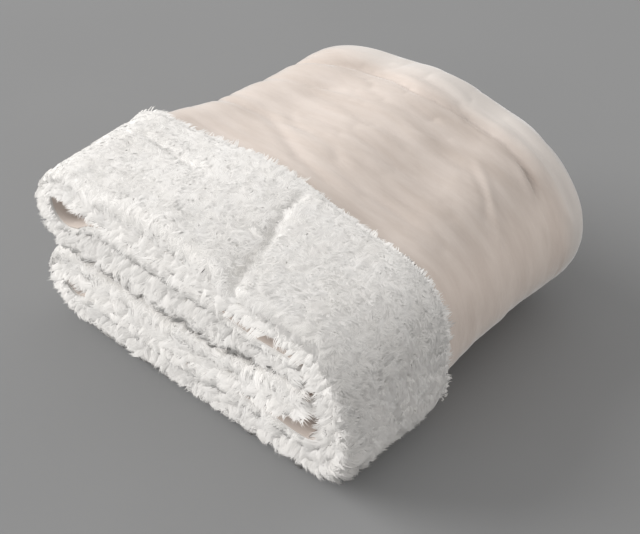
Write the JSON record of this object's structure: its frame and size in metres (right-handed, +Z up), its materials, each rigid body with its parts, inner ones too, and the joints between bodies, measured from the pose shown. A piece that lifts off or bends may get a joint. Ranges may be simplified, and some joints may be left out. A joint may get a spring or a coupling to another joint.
{
  "type": "folded sherpa blanket",
  "caption": "Folded sherpa throw blanket: a smooth plush body with one end turned back as a deep fluffy cuff, resting flat.",
  "frame": {"origin": "middle of the footprint, on the surface that the folded blanket lies on", "axes": "+Z is up; -Y is the cuff end, where the turned-back cloth and the ends of the folds show; +X is the side of the one big wrap, -X the side of the two stacked rolls"},
  "size_m": [0.374, 0.3566, 0.1808],
  "materials": {
    "sherpa_pile": "fluffy curled pile, off-white",
    "plush": "short smooth velvety pile, pale blush beige"
  },
  "bodies": {
    "root": {"sherpa_back": "sherpa_pile", "plush_face": "plush"}
  },
  "joints": []
}
